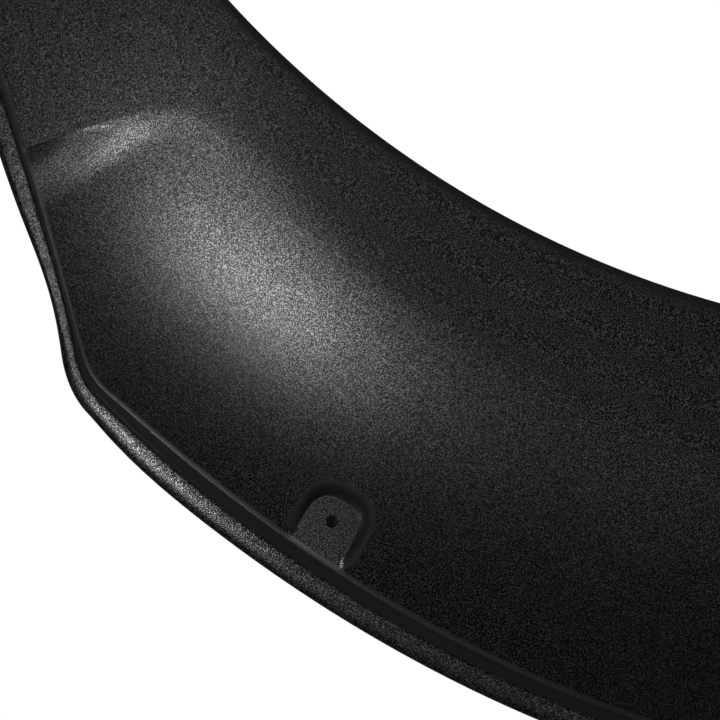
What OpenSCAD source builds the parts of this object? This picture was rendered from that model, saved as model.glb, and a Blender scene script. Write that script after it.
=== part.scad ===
// Wheel arch trim, moulded in one piece from black grained plastic.
// X runs along the car, Z is up and the outer face looks towards -Y.
// The back edges and the mounting flange lie on the body side at Y = 0.
// The origin is the centre of the wheel opening's arc, in the body plane.

/* [Wheel opening] */
// Radius of the wheel opening edge
opening_r = 377.5; // [360:0.5:395]
// How far the outer face stands off the body
stand_off = 40; // [36:0.5:46]
// Radius of the rounded edge at the wheel opening
edge_r = 3; // [2:0.5:5]
// Slope of the outer face band, fall per mm of width
face_fall = 0.03; // [0:0.005:0.06]
// Extra slope of the outer face at the feet
foot_fall = 0.05; // [0:0.005:0.08]

/* [Outline] */
// Width of the panel at the shoulder corner
shoulder_band = 134.6; // [125:0.1:147]
// Extra radius of the panel edge at the top of the arch
arch_rise = 33; // [20:1:45]
// Angle from the top of the arch to the shoulder corner
shoulder_angle = 53; // [50:0.5:55]
// Width of the panel at its straight sides
side_band = 39; // [33:0.5:46]
// How much further out the panel edge is at the feet
foot_flare = 24; // [10:1:34]
// Height at which the side starts to sweep out to the foot
waist_z = 225; // [190:5:240]
// Rounding of the shoulder corner
corner_soft = 6; // [3:0.5:10]

/* [Shoulder surface] */
// Height of the panel edge above the body along the arch
panel_edge_h = 7; // [6:0.5:9]
// Slope of the shoulder where it leaves the panel edge
edge_slope = 0.5; // [0.4:0.01:0.6]
// Slope of the shoulder where it meets the outer face
crest_slope = 0.15; // [0.08:0.01:0.2]
// Width of the swept shoulder
shoulder_w = 98; // [90:1:108]
// Softness of the crest between outer face and shoulder
crest_soft = 0.8; // [0.6:0.2:3]
// Height above the wheel centre where the foot block ends at the panel edge
block_z = 212.6; // [200:0.2:222]
// How much lower the block ends per mm inwards from the panel edge
block_lean = 0.07; // [0:0.01:0.2]
// Slope of the ramp from the foot block to the shoulder, at its inner end
block_slope = 0.6; // [0.4:0.02:0.8]
// How much steeper the ramp gets per mm outwards
block_twist = 0.005; // [0:0.0005:0.008]
// Softness of the hollow between ramp and shoulder
block_blend = 6.4; // [4:0.2:8]

/* [Mounting flange] */
// Width of the step and flange beyond the panel edge
flange_w = 15.9; // [14:0.1:18]
// Width lost by the flange where it narrows below the shoulder corner
flange_waist = 7.3; // [0:0.1:8]
// Thickness of the flange
flange_t = 2.7; // [2.2:0.1:3.2]
// Height of the crown of the flange above its thickness
flange_crown = 0.6; // [0.3:0.1:1.2]

/* [Moulding] */
// Wall thickness
wall = 2.8; // [2.4:0.1:3.2]
// Draft of the return wall, as an offset over its depth
lip_draft = 1.5; // [0.5:0.5:3]
// Thickness of the stiffening ribs in the hollow back
rib_t = 1.8; // [1.4:0.1:2.4]
// Number of ribs in the hollow back
rib_count = 9; // [5:1:13]
// How far each rib reaches from the wheel opening
rib_reach = 46; // [38:1:56]

/* [Screw pockets] */
// Diameter of the screw holes
hole_d = 4.6; // [3.5:0.1:5.5]
// Distance of the screw holes from the panel edge
hole_inset = 13.1; // [12:0.1:15]
// Angle of the upper pair of pockets from the top of the arch
upper_angle = 14.2; // [10:0.2:18]
// Angle of the lower pair of pockets from the top of the arch
lower_angle = 42.6; // [38:0.2:44]
// Half width of a screw pocket
pocket_w = 14.5; // [12:0.5:16]
// Length of a screw pocket from its sides' end to its apex
pocket_l = 20.5; // [18:0.5:23]
// Distance below the hole at which the pocket's sides run straight
pocket_drop = 6; // [4:0.5:8]
// Share of the pocket that its side walls take
pocket_side = 0.28; // [0.22:0.02:0.36]
// Outer diameter of the stand-off ring behind each screw hole
ring_d = 11; // [9:0.5:13]

/* [Foot fixing] */
// Diameter of the fixing hole in each foot's return wall
foot_hole_d = 5; // [3:0.5:7]
// Height of that hole above the foot's end
foot_hole_z = 30; // [16:1:50]

/* [Hidden] */
trim_color = [0.10, 0.10, 0.11];
// Radius of the panel edge at the shoulder corner, and half width between its straight sides
shoulder_r = opening_r + shoulder_band;
side_x = opening_r + side_band;
// Points across the panel, from its edge: pocket floor, pocket wall, shoulder, outer face
outer_rows = [5, 5, 8, 6];
inner_rows = [3, 3, 4, 2];
// Distances from the panel edge at which the first two zones end, and the third's end as a share
floor_end = hole_inset - pocket_drop + (1 - pocket_side) * pocket_l - 0.4;
wall_end = hole_inset - pocket_drop + pocket_l + 0.6;
shoulder_end = 0.70;
// Width over which the ramp steepens, and half the length of its soft start
ramp_w = 44;
ramp_soft = 0.6;
corner_from = shoulder_angle - 1.2;
corner_to = shoulder_angle + 3.4;
pocket_reach = pocket_w + 1.5;
overlap = 0.8;
clear = 1;
round_faces = 48;
pocket_places = [-lower_angle, -upper_angle, upper_angle, lower_angle];
// The ribs stand at equal angles over this much of the arch to each side of its top
rib_span = 72;
// Height of a rib at its tip, and how far its root stays off the body
rib_tip_h = 3;
rib_foot_h = 6;

// Soft minimum of two heights over a blend height k
function soft_min(a, b, k) = min(a, b) - pow(max(k - abs(a - b), 0), 2) / (4 * k);
function soft_max(a, b, k) = -soft_min(-a, -b, k);
// Straight mix of two values
function mix(a, b, t) = a + (b - a) * t;
// Smooth step from 0 to 1
function ease(t) = let (c = min(max(t, 0), 1)) c * c * (3 - 2 * c);
// The n values that end equal steps from a to b
function steps(a, b, n) = [for (i = [1:n]) mix(a, b, i / n)];

// Panel edge of the arch as a radius at angle phi from the top
function arch_edge_r(phi) =
    shoulder_r + arch_rise * pow(max(cos(90 * min(phi, shoulder_angle) / shoulder_angle), 0), 1.3);
// Panel edge of the side as a distance from the middle of the car part, at height z
function side_edge_x(z) =
    side_x + foot_flare * (1 - cos(180 * min(max((waist_z - z) / waist_z, 0), 1))) / 2;
// Radius at which a line from the centre at angle phi meets the side edge
function side_edge_r(phi) =
    phi < 20 ? 4 * shoulder_r : side_edge_x(side_edge_x(side_x / tan(phi)) / tan(phi)) / sin(phi);
function panel_edge_r(phi) = soft_min(arch_edge_r(phi), side_edge_r(phi), corner_soft);

// Point in the XZ plane at radius r and signed angle phi from the top
function polar(r, phi) = [r * sin(phi), r * cos(phi)];
function panel_edge(phi) = polar(panel_edge_r(abs(phi)), phi);
// Outward direction of the panel edge, square to it
function edge_out(phi) =
    let (d = panel_edge(phi + 0.05) - panel_edge(phi - 0.05))
    abs(phi) > 89 ? [sign(phi), 0] : [-d[1], d[0]] / norm(d);

// Share of the foot block in the slope of the outer face
function foot_share(phi) = ease((phi - 54) / 14);
// Outer face band, nearly parallel to the body
function face_h(r, phi) = stand_off - (face_fall + foot_fall * foot_share(phi)) * (r - opening_r);
// Height gained by the shoulder at distance b from the panel edge
function shoulder_rise(b) =
    b < shoulder_w
        ? edge_slope * b - (edge_slope - crest_slope) * b * b / (2 * shoulder_w)
        : (edge_slope + crest_slope) * shoulder_w / 2 + crest_slope * (b - shoulder_w);
// Height at which the foot block ends, and the slope of its ramp, at x
function block_end(x) = block_z - block_lean * (side_x - x);
function ramp_slope(x) = block_slope + block_twist * max(x - side_x + ramp_w, 0);
// Fall of the ramp at distance d past the end of the foot block, with a soft start
function ramp(d, slope) =
    slope * (d < -ramp_soft ? 0 : d < ramp_soft ? pow(d + ramp_soft, 2) / (4 * ramp_soft) : d);

// Height of the panel without its pockets at point p
function plain_h(p) =
    let (
        r = norm(p),
        phi = atan2(abs(p[0]), p[1]),
        face = face_h(r, phi),
        swept = panel_edge_h + shoulder_rise(max(arch_edge_r(phi) - r, 0)),
        block = face - ramp(p[1] - block_end(abs(p[0])), ramp_slope(abs(p[0])))
    )
    soft_min(face, soft_max(swept, block, block_blend), crest_soft);

// Centre of the screw hole at signed angle phi
function hole_at(phi) = polar(arch_edge_r(abs(phi)) - hole_inset, phi);
// 0 at the middle of a pocket, 1 at its rim; s is across and w towards the wheel opening
function pocket_rim(s, w) =
    w > -pocket_drop
        ? pow(pow(abs(s) / pocket_w, 3) + pow((w + pocket_drop) / pocket_l, 3), 1 / 3)
        : abs(s) / pocket_w;
// Pocket wall from its foot at 0 to its rounded top at 1
function wall_curve(t) = let (c = min(max(t, 0), 1)) c * (2 - c);
// How much of the panel's own height is left at p beside the pocket at angle phi
function pocket_keep(p, phi) =
    let (d = p - hole_at(phi), s = d * [cos(phi), -sin(phi)], w = -d * [sin(phi), cos(phi)])
    abs(s) > pocket_reach || w > pocket_l ? 1
        : wall_curve((pocket_rim(s, w) - 1 + pocket_side) / pocket_side);
// Height of the finished panel at point p
function skin_h(p) =
    let (
        h = plain_h(p),
        k1 = pocket_keep([abs(p[0]), p[1]], upper_angle),
        k2 = pocket_keep([abs(p[0]), p[1]], lower_angle)
    )
    h > panel_edge_h ? mix(panel_edge_h, h, min(k1, k2)) : h;
// Height of the back of the wall, a wall thickness away in every direction
function back_h(p) =
    min([
        for (share = [0, 0.5, 0.9])
            for (a = share == 0 ? [0] : [0:60:300])
                skin_h(p + share * wall * [cos(a), sin(a)]) - wall * sqrt(1 - share * share)
    ]);

// Width of step and flange together at angle phi
function flange_at(phi) =
    flange_w - 2 * foot_share(phi) - flange_waist * exp(-pow((phi - shoulder_angle - 4) / 4.2, 2));

// The section at one angle, as points [x, y, z] from the flange's back edge over the outside
function outside(phi) =
    let (
        out = edge_out(phi),
        along = abs(phi) > 89 ? [sign(phi), 0] : [sin(phi), cos(phi)],
        rim = polar(opening_r, phi),
        edge = abs(phi) > 89 ? [sign(phi) * side_edge_x(rim[1]), rim[1]] : panel_edge(phi),
        fw = flange_at(abs(phi)),
        edge_v = skin_h(edge),
        flange = [
            [1, 0], [1, 0.9], [0.985, 0.68 * flange_t], [0.94, 0.95 * flange_t],
            [0.85, flange_t + 0.6 * flange_crown], [0.72, flange_t + 0.95 * flange_crown],
            [0.58, flange_t + flange_crown], [0.47, flange_t + 0.5 * flange_crown], [0.40, flange_t]
        ],
        first = rim + edge_r * along,
        width = norm(edge - first)
    )
    concat(
        [for (f = flange) let (q = edge + f[0] * fw * out) [q[0], -f[1], q[1]]],
        [for (f = [[0.16, 0.05], [0.12, 0.018]])
            let (q = edge + f[0] * fw * out) [q[0], -(edge_v - f[1] * fw), q[1]]],
        [for (t = concat([0], row_shares(outer_rows, width)))
            let (q = edge + (first - edge) * t) [q[0], -skin_h(q), q[1]]],
        [for (a = [30, 60, 90])
            let (q = first - edge_r * sin(a) * along)
            [q[0], -(skin_h(first) - edge_r * (1 - cos(a))), q[1]]],
        [let (q = rim + lip_draft * along) [q[0], 0, q[1]]]
    );
// Places of the rows across a panel of this width, as shares of it from the panel edge
function row_shares(rows, width) =
    concat(
        steps(0, floor_end / width, rows[0]),
        steps(floor_end / width, wall_end / width, rows[1]),
        steps(wall_end / width, shoulder_end, rows[2]),
        steps(shoulder_end, 1, rows[3])
    );

// The same section's points on the inside, from the wheel opening back to the flange
function inside(phi) =
    let (
        last = abs(phi) > 89,
        a = last ? sign(phi) * acos(wall / opening_r) : phi,
        out = edge_out(phi),
        along = last ? [sign(phi), 0] : [sin(phi), cos(phi)],
        rim = polar(opening_r, a),
        edge = last ? [sign(phi) * side_edge_x(rim[1]), rim[1]] : panel_edge(phi),
        first = rim + wall * along,
        final = edge - wall * out,
        toe = edge + (0.40 * flange_at(abs(phi)) - wall) * out,
        shares = row_shares(inner_rows, norm(final - first)),
        n = len(shares)
    )
    concat(
        [let (q = first + lip_draft * along) [q[0], 0, q[1]]],
        [for (i = [0:n])
            let (q = mix(final, first, i == n ? 0 : shares[n - 1 - i])) [q[0], -back_h(q), q[1]]],
        [[toe[0], 0, toe[1]]]
    );

// Section angles of one half, close together where the form changes fast
function pocket_angles(phi) =
    let (r = norm(hole_at(phi)))
    [for (s = [-pocket_reach, -pocket_w, -0.85 * pocket_w, -0.70 * pocket_w, -0.35 * pocket_w, 0,
               0.35 * pocket_w, 0.70 * pocket_w, 0.85 * pocket_w, pocket_w, pocket_reach])
        phi + asin(s / r)];
function half_angles() =
    let (
        upper = pocket_angles(upper_angle),
        lower = pocket_angles(lower_angle),
        last = len(upper) - 1,
        corner = concat([corner_from], steps(corner_from, corner_to, 7))
    )
    concat(
        [for (a = steps(0, upper[0], 2)) if (a < upper[0] - 0.01) a],
        upper,
        [for (a = steps(upper[last], lower[0], 5)) if (a < lower[0] - 0.01) a],
        lower,
        [for (a = steps(lower[last], corner_from, 2)) if (a < corner_from - 0.01) a],
        corner,
        steps(corner_to, 66, 5),
        steps(66, 90, 5)
    );

// Closed skin through all sections, with an end wall at each foot
module shell() {
    half = half_angles();
    n = len(half);
    angles = concat([for (i = [n - 1:-1:0]) -half[i]], [0], half);
    rings = [for (a = angles) concat(outside(a), inside(a))];
    size = len(rings[0]);
    outer = len(outside(0));
    last = len(rings) - 1;
    tube = [for (i = [0:last - 1]) for (k = [0:size - 1])
        let (m = (k + 1) % size)
        for (face = [
            [i * size + k, (i + 1) * size + k, (i + 1) * size + m],
            [i * size + k, (i + 1) * size + m, i * size + m]
        ]) face];
    base = last * size;
    start_caps = [
        [for (k = [0:outer - 1]) k],
        [for (k = [outer:size - 1]) k],
        [0, outer - 1, outer, size - 1]
    ];
    end_caps = [
        [for (k = [outer - 1:-1:0]) base + k],
        [for (k = [size - 1:-1:outer]) base + k],
        [base + size - 1, base + outer, base + outer - 1, base]
    ];
    polyhedron(
        points = [for (ring = rings) for (p = ring) p],
        faces = concat(tube, [for (f = start_caps) f], [for (f = end_caps) f]),
        convexity = 10
    );
}

// One stiffening rib, a thin gusset between the return wall and the skin at angle phi
module rib(phi) {
    root = opening_r + 0.6 * wall;
    tip = opening_r + rib_reach;
    top = [for (r = concat([root], steps(root, tip, 6))) [r, back_h(polar(r, phi)) + overlap]];
    tip_h = back_h(polar(tip, phi)) - rib_tip_h;
    rotate([180, phi - 90, 0])
        translate([0, 0, -rib_t / 2])
            linear_extrude(rib_t)
                polygon(concat(top, [[tip, tip_h], [root + lip_draft, rib_foot_h]]));
}

// Hollow ring that spaces a screw pad off the body
module ring(phi) {
    at = hole_at(phi);
    translate([at[0], 0, at[1]])
        rotate([90, 0, 0])
            cylinder(h = panel_edge_h - wall / 2, d = ring_d, $fn = round_faces);
}

// Screw hole through pad and ring
module screw_hole(phi) {
    at = hole_at(phi);
    translate([at[0], clear, at[1]])
        rotate([90, 0, 0])
            cylinder(h = panel_edge_h + 2 * clear, d = hole_d, $fn = round_faces);
}

// Fixing hole through the return wall of one foot, side is 1 or -1
module foot_hole(side) {
    translate([side * opening_r, -stand_off / 2, foot_hole_z])
        rotate([0, 90, 0])
            cylinder(h = 4 * wall, d = foot_hole_d, center = true, $fn = round_faces);
}

module arch_trim() {
    color(trim_color)
        difference() {
            union() {
                shell();
                for (phi = pocket_places) ring(phi);
                for (i = [0:rib_count - 1]) rib(rib_span * (2 * i / (rib_count - 1) - 1));
            }
            for (phi = pocket_places) screw_hole(phi);
            for (side = [-1, 1]) foot_hole(side);
        }
}

arch_trim();
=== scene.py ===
import math

import bpy
import numpy as np
from mathutils import Matrix, Vector


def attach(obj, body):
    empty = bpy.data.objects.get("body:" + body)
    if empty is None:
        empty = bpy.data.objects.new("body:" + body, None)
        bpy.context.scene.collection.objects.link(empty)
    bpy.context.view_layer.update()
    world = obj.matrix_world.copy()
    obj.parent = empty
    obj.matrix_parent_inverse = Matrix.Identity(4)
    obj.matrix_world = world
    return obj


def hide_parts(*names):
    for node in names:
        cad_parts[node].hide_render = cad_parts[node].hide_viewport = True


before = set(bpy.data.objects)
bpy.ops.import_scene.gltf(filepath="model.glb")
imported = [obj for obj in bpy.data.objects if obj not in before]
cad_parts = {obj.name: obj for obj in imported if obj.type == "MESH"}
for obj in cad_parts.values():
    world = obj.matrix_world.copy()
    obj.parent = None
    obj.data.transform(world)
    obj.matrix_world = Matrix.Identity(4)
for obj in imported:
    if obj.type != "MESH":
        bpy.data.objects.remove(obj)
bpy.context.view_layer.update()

# Outline of the trim.
# The trim is one sheet of black plastic, moulded about 3 mm thick, that frames the wheel opening. Seen
# square on, its panel runs from the opening's arc to an arched edge, which drops into two flared feet.
# Sizes are in mm and degrees, angles are counted from the top of the arch, and heights from the car body.
OPENING_R = 377.5
SHOULDER_R = 512.1
ARCH_RISE = 33.0
ARCH_FULLNESS = 1.3
SHOULDER_ANGLE = 53.0
SIDE_X = 416.5
SIDE_FROM_ANGLE = 20.0
CORNER_SOFT = 6.0
FOOT_FLARE = 24.0
WAIST_Z = 225.0


def sin_d(a):
    return np.sin(np.radians(a))


def cos_d(a):
    return np.cos(np.radians(a))


def soft_min(a, b, k):
    """The smaller of a and b, rounded over k where they meet."""
    return np.minimum(a, b) - np.maximum(k - np.abs(a - b), 0) ** 2 / (4 * k)


def ease(t):
    """A smooth step from 0 to 1 while t goes from 0 to 1."""
    c = np.clip(t, 0, 1)
    return c * c * (3 - 2 * c)


def arch_edge_r(phi):
    """Radius of the panel's outer edge along the arch."""
    bow = np.maximum(cos_d(90 * np.minimum(phi, SHOULDER_ANGLE) / SHOULDER_ANGLE), 0)
    return SHOULDER_R + ARCH_RISE * bow**ARCH_FULLNESS


def side_edge_x(z):
    """Half width of the panel along a foot, which flares out below the waist."""
    sweep = np.clip((WAIST_Z - z) / WAIST_Z, 0, 1)
    return SIDE_X + FOOT_FLARE * (1 - cos_d(180 * sweep)) / 2


def panel_edge_r(phi):
    """Radius of the panel's outer edge, over the arch and down the foot."""
    steep = np.maximum(phi, SIDE_FROM_ANGLE)
    tan = np.tan(np.radians(steep))
    side = side_edge_x(side_edge_x(SIDE_X / tan) / tan) / sin_d(steep)
    side = np.where(phi < SIDE_FROM_ANGLE, 4 * SHOULDER_R, side)
    return soft_min(arch_edge_r(phi), side, CORNER_SOFT)


def polar(r, phi):
    """X and Z of the point at this radius and angle."""
    return np.stack([r * sin_d(phi), r * cos_d(phi)], axis=-1)


def panel_edge(phi):
    return polar(panel_edge_r(np.abs(phi)), phi)


def edge_out(phi):
    """Unit direction out of the panel, square to its outer edge."""
    d = panel_edge(phi + 0.05) - panel_edge(phi - 0.05)
    out = np.stack([-d[..., 1], d[..., 0]], axis=-1)
    out /= np.linalg.norm(out, axis=-1, keepdims=True)
    flat = np.stack([np.sign(phi), 0 * phi], axis=-1)
    return np.where(np.abs(phi)[..., None] > 89.9, flat, out)


# Face band, shoulder and foot block.
# Moulded into the sheet: a flat band along the wheel opening, a shoulder that sweeps down from it to the
# edge, and above each foot a ramp with a crest, which is rounded inside and crisp towards the outer edge.
STAND_OFF = 40.0
FACE_FALL = 0.03
FOOT_FALL = 0.05
FOOT_ANGLE = 54
FOOT_BLEND_ANGLE = 14
PANEL_EDGE_H = 7.0
SHOULDER_W = 98.0
EDGE_SLOPE = 0.5
CREST_SLOPE = 0.15
BLOCK_Z = 212.6
BLOCK_LEAN = 0.07
BLOCK_SLOPE = 0.6
BLOCK_TWIST = 0.005
BLOCK_BLEND = 6.4
TWIST_W = 44
RAMP_SOFT = 0.6
CREST_SOFT = 0.8
CRISP_X = 368
CRISP_BLEND = 18


def foot_share(phi):
    """0 on the arch, 1 on the feet."""
    return ease((phi - FOOT_ANGLE) / FOOT_BLEND_ANGLE)


def shoulder_rise(b):
    """Height that the shoulder gains over a distance b from the panel's outer edge."""
    near = EDGE_SLOPE * b - (EDGE_SLOPE - CREST_SLOPE) * b * b / (2 * SHOULDER_W)
    far = (EDGE_SLOPE + CREST_SLOPE) * SHOULDER_W / 2 + CREST_SLOPE * (b - SHOULDER_W)
    return np.where(b < SHOULDER_W, near, far)


def crest_crisp(x):
    """1 where the crest of the foot block is a crisp edge, 0 where it is rounded."""
    return ease((np.abs(x) - CRISP_X) / CRISP_BLEND)


def ramp_slope(x):
    """Slope of the ramp, which is steeper towards the outer edge."""
    return BLOCK_SLOPE + BLOCK_TWIST * np.maximum(np.abs(x) - SIDE_X + TWIST_W, 0)


def past_block(x, z):
    """How far a point lies beyond the end of the foot block."""
    return z - BLOCK_Z + BLOCK_LEAN * (SIDE_X - np.abs(x))


def ramp(x, z):
    """Fall of the ramp between the foot block and the shoulder."""
    d = past_block(x, z)
    soft = RAMP_SOFT - (RAMP_SOFT - 0.001) * crest_crisp(x)
    bent = (d + soft) ** 2 / (4 * soft)
    return ramp_slope(x) * np.where(d < -soft, 0, np.where(d < soft, bent, d))


def crest_line(x, z):
    """0 along the crisp crest of the foot block."""
    return past_block(x, z) - CREST_SOFT / 4 / ramp_slope(x)


def plain_h(x, z):
    """Height of the outer side without the screw pockets."""
    r = np.hypot(x, z)
    phi = np.degrees(np.arctan2(np.abs(x), z))
    face = STAND_OFF - (FACE_FALL + FOOT_FALL * foot_share(phi)) * (r - OPENING_R)
    swept = PANEL_EDGE_H + shoulder_rise(np.maximum(arch_edge_r(phi) - r, 0))
    under = -soft_min(-swept, -(face - ramp(x, z)), BLOCK_BLEND)
    rounded = soft_min(face, under, CREST_SOFT)
    crisp = np.minimum(face - CREST_SOFT / 4, under)
    return rounded + (crisp - rounded) * crest_crisp(x)


# Screw pockets.
# Four dished pads at the outer edge, moulded down to the height of the ledge, in which the screws sit.
# Each is a rounded arch that is open towards the edge.
HOLE_INSET = 13.1
UPPER_ANGLE = 14.2
LOWER_ANGLE = 42.6
POCKET_W = 14.5
POCKET_L = 20.5
POCKET_DROP = 6.0
POCKET_SIDE = 0.28


def pocket_rim(x, z, angle):
    """0 in the middle of the screw pocket at this angle, 1 at its rim."""
    hole = polar(arch_edge_r(angle) - HOLE_INSET, angle)
    dx = np.abs(x) - hole[0]
    dz = z - hole[1]
    s = np.abs(dx * cos_d(angle) - dz * sin_d(angle)) / POCKET_W
    w = -(dx * sin_d(angle) + dz * cos_d(angle))
    deep = np.maximum(w + POCKET_DROP, 0) / POCKET_L
    return (s**3 + deep**3) ** (1 / 3)


def nearest_rim(x, z):
    return np.minimum(pocket_rim(x, z, UPPER_ANGLE), pocket_rim(x, z, LOWER_ANGLE))


def pocket_foot(x, z):
    """0 along the foot of the pocket walls, below 0 on the pocket floors."""
    return nearest_rim(x, z) - 1 + POCKET_SIDE


def skin_h(x, z):
    """Height of the outer side with the screw pockets."""
    h = plain_h(x, z)
    climb = np.clip(pocket_foot(x, z) / POCKET_SIDE, 0, 1)
    keep = climb * (2 - climb)
    return np.where(h > PANEL_EDGE_H, PANEL_EDGE_H + (h - PANEL_EDGE_H) * keep, h)


# Outer side of the sheet.
# From the flange's edge, which lies on the car body, over its rounded roll, the step, the ledge and the
# panel, round the rim of the wheel opening and back down to the body, as sections along the arch.
FLANGE_W = 15.9
FLANGE_FOOT = 2
FLANGE_WAIST = 7.3
WAIST_ANGLE = 57.0
WAIST_SPREAD = 4.2
FLANGE_T = 2.7
FLANGE_CROWN = 0.6
FLANGE_EDGE_H = 0.9
ROLL_START = 0.52
ROLL_LATER = 0.28
ROLL_FULLNESS = 0.95
STEP_SHARE = 0.40
EDGE_R = 3.0
LIP_DRAFT = 1.5


def flange_at(phi):
    """Width of the flange, which narrows at the waist over each foot."""
    waist = np.exp(-(((phi - WAIST_ANGLE) / WAIST_SPREAD) ** 2))
    return FLANGE_W - FLANGE_FOOT * foot_share(phi) - FLANGE_WAIST * waist


def bend(a, corner, b, n):
    """n + 1 points of a rounded corner from a to b."""
    t = np.linspace(0, 1, n + 1)[:, None]
    a, corner, b = np.array(a), np.array(corner), np.array(b)
    return (1 - t) ** 2 * a + 2 * t * (1 - t) * corner + t * t * b


def section_angles():
    """Angles of the sections of one half, close together at the pockets and at the foot block."""
    half_pocket = 1.9
    stops = [(0.0, 0.8)]
    for middle in (UPPER_ANGLE, LOWER_ANGLE):
        stops += [(middle - half_pocket, 0.09), (middle + half_pocket, 0.8)]
    stops += [(SHOULDER_ANGLE - 1.2, 0.14), (66.0, 0.8), (89.3, 0.7)]
    angles = []
    for (start, pitch), (stop, _) in zip(stops, stops[1:] + [(90.0, 0)]):
        count = max(round((stop - start) / pitch), 1)
        angles += list(start + (stop - start) * np.arange(count) / count)
    angles.append(90.0)
    return np.array(angles)


def draw_to(points, line, inner_x):
    """Draws the nearest grid points onto the line, so that no grid edge outside inner_x crosses it."""
    level = line(points[..., 0], points[..., 1])
    near = np.zeros(level.shape, bool)
    ahead = (slice(None, -1), slice(1, None))
    for a, b in (ahead, [(slice(None), part) for part in ahead]):
        cross = level[a] * level[b] < 0
        near_a = np.abs(level[a]) < np.abs(level[b])
        near[a] |= cross & near_a
        near[b] |= cross & ~near_a
    near &= np.abs(points[..., 0]) > inner_x
    near[0] = near[-1] = False
    spots = points[near]
    for _ in range(4):
        x, z = spots[:, 0], spots[:, 1]
        slope_x = (line(x + 0.01, z) - line(x - 0.01, z)) / 0.02
        slope_z = (line(x, z + 0.01) - line(x, z - 0.01)) / 0.02
        move = np.clip(line(x, z) / (slope_x**2 + slope_z**2 + 1e-9), -30, 30)
        shift = np.stack([move * slope_x, move * slope_z], axis=-1)
        spots = spots - shift / np.maximum(np.linalg.norm(shift, axis=-1, keepdims=True) / 0.5, 1)
    points[near] = spots
    return near


half = section_angles()
phi = np.concatenate([-half[:0:-1], half])
rim = polar(OPENING_R, phi)
along = polar(1.0, phi)
out = edge_out(phi)
edge = panel_edge(phi)
width = flange_at(np.abs(phi))
edge_v = skin_h(edge[:, 0], edge[:, 1])
first = rim + EDGE_R * along

# Flange, step and ledge as shares of the flange's width and heights over the body.
crown = FLANGE_T + FLANGE_CROWN
roll_start = ROLL_START + ROLL_LATER * ease((np.abs(phi) - FOOT_ANGLE) / 3)
flange_rows = [(1.0, 0.0)]
for turn in np.radians(np.linspace(0, 90, 15)):
    share = roll_start + (1 - roll_start) * np.cos(turn) ** ROLL_FULLNESS
    rise = (crown - FLANGE_EDGE_H) * np.sin(turn) ** ROLL_FULLNESS
    flange_rows.append((share, FLANGE_EDGE_H + rise))
flange_rows += list(bend((0.50, crown - 0.01), (0.44, crown - 0.06), (STEP_SHARE, FLANGE_T), 5))

rows_out = []
for share, height in flange_rows:
    q = edge + (share * width)[:, None] * out
    rows_out.append((q[:, 0], np.full(len(phi), height), q[:, 1]))
for share, drop in bend((0.19, 0.118), (0.155, 0.036), (0.10, 0.028), 7):
    q = edge + share * width[:, None] * out
    rows_out.append((q[:, 0], edge_v - drop * width, q[:, 1]))
fine = [0, 0.0015, *np.linspace(0.004, 0.245, 52)]
across = np.concatenate([fine, np.linspace(0.245, 0.72, 40)[1:], np.linspace(0.72, 1, 12)[1:]])
panel = edge + (first - edge) * across[:, None, None]
on_line = np.zeros(panel.shape[:2], bool)
for line, inner_x in ((pocket_foot, 0), (crest_line, CRISP_X + 2)):
    on_line |= draw_to(panel, line, inner_x)
panel_start = len(rows_out)
for q in panel:
    rows_out.append((q[:, 0], skin_h(q[:, 0], q[:, 1]), q[:, 1]))
first_h = skin_h(first[:, 0], first[:, 1])
for a in np.linspace(0, 90, 9)[1:]:
    q = first - EDGE_R * sin_d(a) * along
    rows_out.append((q[:, 0], first_h - EDGE_R * (1 - cos_d(a)), q[:, 1]))
wall_top = first_h - EDGE_R
for t in (0.33, 0.67, 1.0):
    q = rim + t * LIP_DRAFT * along
    rows_out.append((q[:, 0], wall_top * (1 - t), q[:, 1]))

# Inner side of the sheet.
# The hollow back keeps one wall thickness to the outer side everywhere, from the wheel opening to the
# step, and ends one wall thickness above each foot, where an end wall closes it.
WALL = 2.8


def back_h(x, z):
    """Height of the inner side: as high as a ball of the wall's radius, rolled under the outer side."""
    low = skin_h(x, z) - WALL
    for share in (0.5, 0.9):
        for a in range(0, 360, 60):
            side = share * WALL
            h = skin_h(x + side * cos_d(a), z + side * sin_d(a))
            low = np.minimum(low, h - WALL * math.sqrt(1 - share * share))
    return low


inner_phi = np.sign(phi) * np.minimum(np.abs(phi), math.degrees(math.acos(WALL / OPENING_R)))
inner_rim = polar(OPENING_R, inner_phi)
last = np.abs(phi) > 89.9
inner_along = np.where(last[:, None], along, polar(1.0, inner_phi))
inner_edge = np.where(
    last[:, None],
    np.stack([np.sign(phi) * side_edge_x(inner_rim[:, 1]), inner_rim[:, 1]], axis=-1),
    edge,
)
start = inner_rim + WALL * inner_along
final = inner_edge - WALL * out
toe = inner_edge + (STEP_SHARE * width - WALL)[:, None] * out
rows_in = []
start_h = back_h(start[:, 0], start[:, 1])
for t in (0.0, 0.5):
    q = start + (1 - t) * LIP_DRAFT * inner_along
    rows_in.append((q[:, 0], start_h * t, q[:, 1]))
for t in np.concatenate([np.linspace(0, 0.78, 16), np.linspace(0.78, 1, 14)[1:]]):
    q = start + (final - start) * t
    rows_in.append((q[:, 0], back_h(q[:, 0], q[:, 1]), q[:, 1]))
final_h = back_h(final[:, 0], final[:, 1])
for t in (0.5, 1.0):
    q = final + (toe - final) * t
    rows_in.append((q[:, 0], final_h * (1 - t), q[:, 1]))


# The sheet in one piece.
# The outer and the inner side are joined into closed rings, one at each angle, and the end walls of
# the two feet close the first and the last of them.


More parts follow.
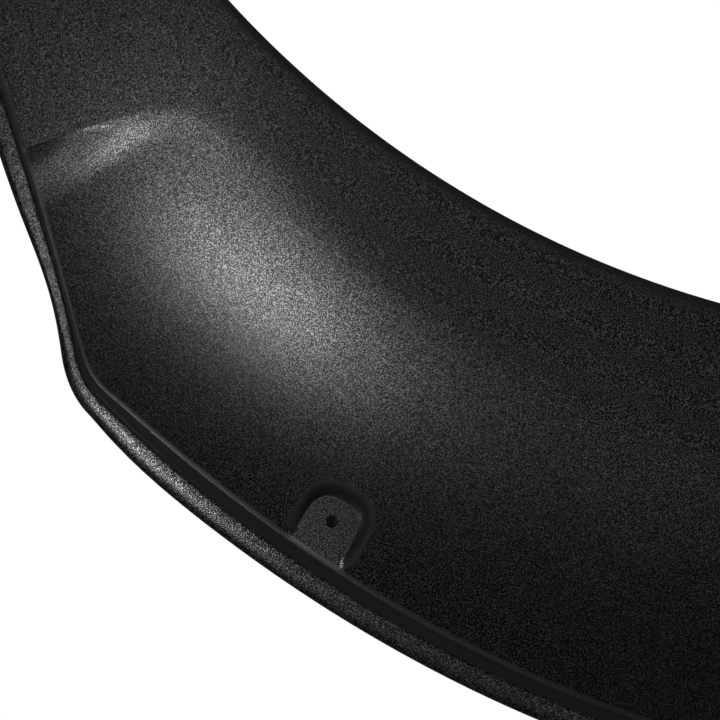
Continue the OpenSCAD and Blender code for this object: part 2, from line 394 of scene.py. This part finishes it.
def solid(name, rings, caps, marked=()):
    """Closed mesh through rings of points in mm; caps lists the end faces of the first ring.

    A face with two opposite marked points is split along them."""
    count, size = rings.shape[:2]
    i = np.arange(count - 1)[:, None] * size
    k = np.arange(size)[None, :]
    m = (k + 1) % size
    quads = np.stack([i + k, i + size + k, i + size + m, i + m], axis=-1).reshape(-1, 4)
    base = (count - 1) * size
    marked = set(map(int, marked))
    faces = []
    for a, b, c, d in quads.tolist():
        if a in marked and c in marked:
            faces += [[a, b, c], [a, c, d]]
        elif b in marked and d in marked:
            faces += [[a, b, d], [b, c, d]]
        else:
            faces.append([a, b, c, d])
    faces += [list(cap) for cap in caps]
    faces += [[base + n for n in reversed(cap)] for cap in caps]
    mesh = bpy.data.meshes.new(name)
    points = rings.reshape(-1, 3) * 0.001
    mesh.from_pydata([tuple(p) for p in points], [], faces)
    mesh.validate()
    obj = bpy.data.objects.new(name, mesh)
    bpy.context.scene.collection.objects.link(obj)
    return obj


rings = np.stack([np.stack([x, -v, z], axis=-1) for x, v, z in rows_out + rows_in], axis=1)
n_out = len(rows_out)
n_all = n_out + len(rows_in)
row, section = np.nonzero(on_line)
trim = solid(
    "arch_trim_sheet",
    rings,
    [list(range(n_out)), list(range(n_out, n_all)), [0, n_out - 1, n_out, n_all - 1]],
    section * n_all + panel_start + row,
)

# Ribs, stand-off rings and holes.
# Moulded with the sheet: nine thin ribs brace the return wall of the wheel opening, and a short
# hollow ring behind each screw pad spaces it off the body. A hole in each foot takes a liner screw.
RIB_COUNT = 9
LAST_RIB_ANGLE = 72
RIB_HALF_T = 0.9
RIB_ROOT = 1.68
RIB_REACH = 46
RIB_TIP = 3.8
RIB_FOOT_H = 6.0
SUNK = 0.8
added_parts = []
for i in range(RIB_COUNT):
    a = LAST_RIB_ANGLE * (2 * i / (RIB_COUNT - 1) - 1)
    radii = OPENING_R + np.linspace(RIB_ROOT, RIB_REACH, 7)
    spots = polar(radii, np.full(len(radii), a))
    tops = back_h(spots[:, 0], spots[:, 1]) + SUNK
    outline = [(r, h) for r, h in zip(radii, tops)]
    outline += [(radii[-1], tops[-1] - RIB_TIP), (radii[0] + LIP_DRAFT, RIB_FOOT_H)]
    ring = np.array([[r * sin_d(a), -h, r * cos_d(a)] for r, h in outline])
    shift = np.array([cos_d(a), 0, -sin_d(a)]) * RIB_HALF_T
    both = np.stack([ring - shift, ring + shift])
    added_parts.append(solid(f"rib_{i}", both, [list(range(len(ring)))]))


def rod(name, place, axis, diameter, length):
    """Cylinder in mm along Y or X, centred on place."""
    bpy.ops.mesh.primitive_cylinder_add(
        vertices=64, radius=diameter / 2000, depth=length / 1000, location=Vector(place) / 1000
    )
    obj = bpy.context.object
    obj.name = name
    turn_axis = "X" if axis == "Y" else "Y"
    obj.data.transform(Matrix.Rotation(math.radians(90), 4, turn_axis))
    return obj


SCREW_HOLE = 4.6
RING_D = 11
LINER_HOLE = 5
LINER_HOLE_Z = 30
drills = []
for n, a in enumerate((-LOWER_ANGLE, -UPPER_ANGLE, UPPER_ANGLE, LOWER_ANGLE)):
    hole = polar(arch_edge_r(abs(a)) - HOLE_INSET, a)
    ring_h = PANEL_EDGE_H - WALL / 2
    added_parts.append(rod(f"ring_{n}", (hole[0], -ring_h / 2, hole[1]), "Y", RING_D, ring_h))
    middle = (hole[0], -PANEL_EDGE_H / 2, hole[1])
    drills.append(rod(f"drill_{n}", middle, "Y", SCREW_HOLE, PANEL_EDGE_H + 2))
for side in (-1, 1):
    place = (side * OPENING_R, -STAND_OFF / 2, LINER_HOLE_Z)
    drills.append(rod(f"foot_drill_{side + 1}", place, "X", LINER_HOLE, 4 * WALL))


def join(objs):
    bpy.ops.object.select_all(action="DESELECT")
    for o in objs:
        o.select_set(True)
    bpy.context.view_layer.objects.active = objs[0]
    bpy.ops.object.join()
    return objs[0]


added = join(added_parts)
cut = join(drills)
for operation, tool in (("UNION", added), ("DIFFERENCE", cut)):
    step = trim.modifiers.new(operation.title(), "BOOLEAN")
    step.operation = operation
    step.object = tool
    step.solver = "MANIFOLD"
finished = bpy.data.meshes.new_from_object(
    trim.evaluated_get(bpy.context.evaluated_depsgraph_get())
)
trim.modifiers.clear()
trim.data = finished
for tool in (added, cut):
    bpy.data.objects.remove(tool)
finished.shade_smooth()
finished.set_sharp_from_angle(angle=math.radians(38))

# Where the surface is grained.
# The grain covers the panel and the top of the flange; the ledge, the step, the pockets' walls, the
# rolled edges and the back are smooth, as the mould leaves them.


def fade(value, start, over):
    """0 up to start, 1 from start + over."""
    return ease((value - start) / over)


co = np.empty(len(finished.vertices) * 3)
finished.vertices.foreach_get("co", co)
co = co.reshape(-1, 3) * 1000
x, v, z = co[:, 0], -co[:, 1], co[:, 2]
radius = np.hypot(x, z)
angle = np.degrees(np.arctan2(x, np.maximum(z, 1e-6)))
beyond = np.sum((np.stack([x, z], axis=-1) - panel_edge(angle)) * edge_out(angle), axis=-1)
share = beyond / flange_at(np.abs(angle))
rims = nearest_rim(x, z)
wall_mask = fade(rims, 0.66, 0.1) * (1 - fade(rims, 1.0, 0.08)) * fade(-beyond, 1, 3)
on_skin = np.abs(v - skin_h(x, z))
panel_mask = fade(radius, OPENING_R + 1.5, 3) * fade(-beyond, -0.2, 0.5) * (1 - wall_mask)
panel_mask *= on_skin < 0.4
flange_mask = fade(share, STEP_SHARE + 0.02, 0.04) * (1 - fade(share, 0.95, 0.04)) * (v > 1.0)
grain = np.where(beyond < 0, panel_mask, flange_mask)
mask = finished.attributes.new("grained", "FLOAT", "POINT")
mask.data.foreach_set("value", grain.astype(np.float32))

# The crest of the foot block is an edge wherever it is crisp.
on_crest = (np.abs(crest_line(x, z)) < 0.004) & (on_skin < 0.01) & (np.abs(x) > CRISP_X + 10)
ends = np.empty(len(finished.edges) * 2, np.int32)
finished.edges.foreach_get("vertices", ends)
sharp = np.empty(len(finished.edges), bool)
finished.attributes["sharp_edge"].data.foreach_get("value", sharp)
sharp |= on_crest[ends[::2]] & on_crest[ends[1::2]]
finished.attributes["sharp_edge"].data.foreach_set("value", sharp)

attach(trim, "root")
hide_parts("arch_trim")

# Black grained plastic.
# Unpainted polypropylene, dyed black, with a fine wormy grain from the mould, under 1 mm from crest to
# crest. The worms stand up a little and shine; painted shade makes the pores between them darker and
# duller.
GRAIN_SCALE = 2300.0
GRAIN_STEP = 0.0001
GRAIN_DEPTH = 0.5
# The pores' black is painted shade, darker than the worms' black.
PORE_SHADE_BLACK = (0.0002, 0.0002, 0.0003, 1)
WORM_BLACK = (0.0100, 0.0100, 0.0115, 1)


def node(tree, kind, **values):
    """A shader node, with its settings and its inputs by name, such as From_Min."""
    made = tree.nodes.new(kind)
    for key, value in values.items():
        if hasattr(made, key):
            setattr(made, key, value)
        else:
            made.inputs[key.replace("_", " ").title()].default_value = value
    return made


plastic = bpy.data.materials.new("grained_plastic")
plastic.use_nodes = True
tree = plastic.node_tree
links = tree.links
shader = tree.nodes["Principled BSDF"]
shader.inputs["Roughness"].default_value = 0.30
shader.inputs["IOR"].default_value = 1.5
place = node(tree, "ShaderNodeTexCoord")


def worms_at(shift):
    """Height of the wormy grain, read a little way off along one axis."""
    spot = node(tree, "ShaderNodeVectorMath", operation="ADD")
    spot.inputs[1].default_value = shift
    worms = node(tree, "ShaderNodeTexNoise", Scale=GRAIN_SCALE, Detail=0.0, Distortion=0.3)
    links.new(place.outputs["Object"], spot.inputs[0])
    links.new(spot.outputs["Vector"], worms.inputs["Vector"])
    return worms.outputs["Fac"]


height = worms_at((0, 0, 0))
falls = node(tree, "ShaderNodeCombineXYZ")
for axis in range(3):
    shift = [0.0, 0.0, 0.0]
    shift[axis] = GRAIN_STEP
    fall_off = node(tree, "ShaderNodeMath", operation="SUBTRACT")
    links.new(height, fall_off.inputs[0])
    links.new(worms_at(shift), fall_off.inputs[1])
    links.new(fall_off.outputs[0], falls.inputs[axis])
depth = node(tree, "ShaderNodeMath", operation="MULTIPLY")
depth.inputs[1].default_value = GRAIN_DEPTH
slopes = node(tree, "ShaderNodeVectorMath", operation="SCALE")
surface = node(tree, "ShaderNodeNewGeometry")
tilted = node(tree, "ShaderNodeVectorMath", operation="ADD")
unit = node(tree, "ShaderNodeVectorMath", operation="NORMALIZE")
attr = node(tree, "ShaderNodeAttribute", attribute_name="grained")
tone = node(tree, "ShaderNodeMapRange", From_Min=0.48, From_Max=0.68)
# Painted shade in the pores: where the grain is low, the specular tint drops towards 0.2 and the base
# colour towards the pores' black.
pore_shade_tint = node(tree, "ShaderNodeMapRange", To_Min=0.2, To_Max=1.0)
# A Mix node has its two numbers in sockets 2 and 3, its two colours in 6 and 7, its colour out of 2.
even = node(tree, "ShaderNodeMix", data_type="FLOAT")
even.inputs[2].default_value = 0.5
pore_shaded_black = node(tree, "ShaderNodeMix", data_type="RGBA")
pore_shaded_black.inputs[6].default_value = PORE_SHADE_BLACK
pore_shaded_black.inputs[7].default_value = WORM_BLACK
links.new(height, tone.inputs["Value"])
links.new(attr.outputs["Fac"], even.inputs[0])
links.new(tone.outputs["Result"], even.inputs[3])
links.new(even.outputs[0], pore_shaded_black.inputs[0])
links.new(even.outputs[0], pore_shade_tint.inputs["Value"])
links.new(pore_shade_tint.outputs["Result"], shader.inputs["Specular Tint"])
links.new(pore_shaded_black.outputs[2], shader.inputs["Base Color"])
links.new(attr.outputs["Fac"], depth.inputs[0])
links.new(falls.outputs["Vector"], slopes.inputs[0])
links.new(depth.outputs[0], slopes.inputs["Scale"])
links.new(surface.outputs["Normal"], tilted.inputs[0])
links.new(slopes.outputs["Vector"], tilted.inputs[1])
links.new(tilted.outputs["Vector"], unit.inputs[0])
links.new(unit.outputs["Vector"], shader.inputs["Normal"])
finished.materials.clear()
finished.materials.append(plastic)

# Floor.
# A pale studio floor under the feet; it keeps the shadow near the trim and fades to white far off.
floor_mesh = bpy.data.meshes.new("floor")
floor_mesh.from_pydata([(-6, -6, 0), (6, -6, 0), (6, 6, 0), (-6, 6, 0)], [], [(0, 1, 2, 3)])
floor = bpy.data.objects.new("floor", floor_mesh)
floor.location.z = -0.0005
bpy.context.scene.collection.objects.link(floor)
floor.visible_glossy = False
paint = bpy.data.materials.new("pale_floor")
paint.use_nodes = True
tree = paint.node_tree
links = tree.links
tree.nodes.clear()
matt = node(tree, "ShaderNodeBsdfDiffuse", Color=(0.82, 0.82, 0.82, 1))
white = node(tree, "ShaderNodeEmission", Strength=1.0)
spot = node(tree, "ShaderNodeTexCoord")
far = node(tree, "ShaderNodeVectorMath", operation="LENGTH")
to_white = node(tree, "ShaderNodeMapRange", interpolation_type="SMOOTHSTEP", From_Min=0.55, From_Max=0.9)
path = node(tree, "ShaderNodeLightPath")
amount = node(tree, "ShaderNodeMath", operation="MULTIPLY")
mixer = node(tree, "ShaderNodeMixShader")
end = node(tree, "ShaderNodeOutputMaterial")
links.new(spot.outputs["Object"], far.inputs[0])
links.new(far.outputs["Value"], to_white.inputs["Value"])
links.new(to_white.outputs["Result"], amount.inputs[0])
links.new(path.outputs["Is Camera Ray"], amount.inputs[1])
links.new(amount.outputs[0], mixer.inputs["Fac"])
links.new(matt.outputs[0], mixer.inputs[1])
links.new(white.outputs[0], mixer.inputs[2])
links.new(mixer.outputs[0], end.inputs["Surface"])
floor_mesh.materials.append(paint)

# Backdrop.
# A white board just behind the trim, as the photograph has it: seen only from the front and white where
# the trim leaves it open. Under the trim an occlusion test paints it near black, a painted shadow, which
# is what the screw hole shows. In reflections it is dim, as the board of a dark room would be.
board_mesh = bpy.data.meshes.new("backdrop")
board_mesh.from_pydata([(-8, 0, 0), (8, 0, 0), (8, 0, 8), (-8, 0, 8)], [], [(0, 1, 2, 3)])
board = bpy.data.objects.new("backdrop", board_mesh)
board.location = (0, 0.0008, -2)
bpy.context.scene.collection.objects.link(board)
for ray in ("diffuse", "transmission", "volume_scatter", "shadow"):
    setattr(board, "visible_" + ray, False)
card = bpy.data.materials.new("white_board_with_painted_shadow")
card.use_nodes = True
tree = card.node_tree
links = tree.links
tree.nodes.clear()
# Painted shadow: where the occlusion test finds the trim close by, the board's white gives way to a
# near-black matt colour.
shade = node(tree, "ShaderNodeAmbientOcclusion", samples=16, Distance=0.03)
open_air = node(tree, "ShaderNodeMapRange", interpolation_type="SMOOTHSTEP", From_Min=0.25, From_Max=0.42)
path = node(tree, "ShaderNodeLightPath")
level = node(tree, "ShaderNodeMapRange", To_Min=0.05, To_Max=1.0)
white = node(tree, "ShaderNodeEmission", Color=(1, 1, 1, 1))
matt = node(tree, "ShaderNodeBsdfDiffuse", Color=(0.03, 0.03, 0.03, 1))
mixer = node(tree, "ShaderNodeMixShader")
clear = node(tree, "ShaderNodeBsdfTransparent")
side = node(tree, "ShaderNodeNewGeometry")
facing = node(tree, "ShaderNodeMixShader")
end = node(tree, "ShaderNodeOutputMaterial")
links.new(path.outputs["Is Camera Ray"], level.inputs["Value"])
links.new(level.outputs["Result"], white.inputs["Strength"])
links.new(shade.outputs["AO"], open_air.inputs["Value"])
links.new(open_air.outputs["Result"], mixer.inputs["Fac"])
links.new(matt.outputs[0], mixer.inputs[1])
links.new(white.outputs[0], mixer.inputs[2])
links.new(side.outputs["Backfacing"], facing.inputs["Fac"])
links.new(mixer.outputs[0], facing.inputs[1])
links.new(clear.outputs[0], facing.inputs[2])
links.new(facing.outputs[0], end.inputs["Surface"])
board_mesh.materials.append(card)

# Background and lights.
# The background is white to the camera and to matt surfaces, and dim in reflections, as a dark room is.
# Three small lamps close by make the highlights on the shoulder, the flange and the ramp under the crest,
# the last with a narrow beam. Broad lamps further off light the front, the side and the back.
world = bpy.data.worlds.new("studio")
bpy.context.scene.world = world
world.use_nodes = True
tree = world.node_tree
links = tree.links
tree.nodes.clear()
path = node(tree, "ShaderNodeLightPath")
plain = node(tree, "ShaderNodeMath", operation="MAXIMUM")
level = node(tree, "ShaderNodeMapRange", To_Min=0.035, To_Max=1.0)
sky = node(tree, "ShaderNodeBackground", Color=(1, 1, 1, 1))
end = node(tree, "ShaderNodeOutputWorld")
links.new(path.outputs["Is Camera Ray"], plain.inputs[0])
links.new(path.outputs["Is Diffuse Ray"], plain.inputs[1])
links.new(plain.outputs[0], level.inputs["Value"])
links.new(level.outputs["Result"], sky.inputs["Strength"])
links.new(sky.outputs[0], end.inputs["Surface"])


def lamp(name, place, aim, size, watts, spread=180):
    """A round soft lamp; place, aim and size are in metres, spread is the beam's full angle."""
    data = bpy.data.lights.new(name, "AREA")
    data.shape = "DISK"
    data.size = size
    data.energy = watts
    data.spread = math.radians(spread)
    obj = bpy.data.objects.new(name, data)
    obj.location = place
    obj.rotation_mode = "QUATERNION"
    obj.rotation_quaternion = (Vector(aim) - Vector(place)).to_track_quat("-Z", "Y")
    obj.visible_camera = False
    bpy.context.scene.collection.objects.link(obj)


lamp("near_lamp", (0.526, -0.376, 0.386), (0.350, -0.032, 0.282), 0.05, 1.17)
lamp("flange_lamp", (0.441, -0.333, 0.234), (0.424, -0.003, 0.270), 0.05, 0.26)
lamp("crest_lamp", (0.580, -0.380, 0.640), (0.402, -0.031, 0.222), 0.08, 0.0075, 20)
lamp("front_lamp", (0.7, -2.3, 0.75), (0.3, 0, 0.3), 1.8, 6.3)
lamp("side_lamp", (-2.4, -1.4, 1.0), (0.1, 0, 0.3), 1.2, 13)
lamp("back_lamp", (0.4, 2.2, 1.4), (0, 0, 0.3), 1.6, 75)

# Camera.
# Square on to the body plane, near the part of the trim that the photograph shows, and turned so that
# the foot points up and to the left.
lens = bpy.data.cameras.new("camera")
lens.sensor_width = 36
lens.lens = 126.465
camera = bpy.data.objects.new("camera", lens)
right = Vector((-0.9703, 0, 0.2420)).normalized()
back = Vector((0, -1, 0))
up = back.cross(right)
turned = Matrix((right, up, back)).transposed().to_4x4()
camera.matrix_world = Matrix.Translation((0.3178, -0.950, 0.3166)) @ turned
bpy.context.scene.collection.objects.link(camera)
bpy.context.scene.camera = camera
bpy.context.scene.view_settings.view_transform = "Standard"
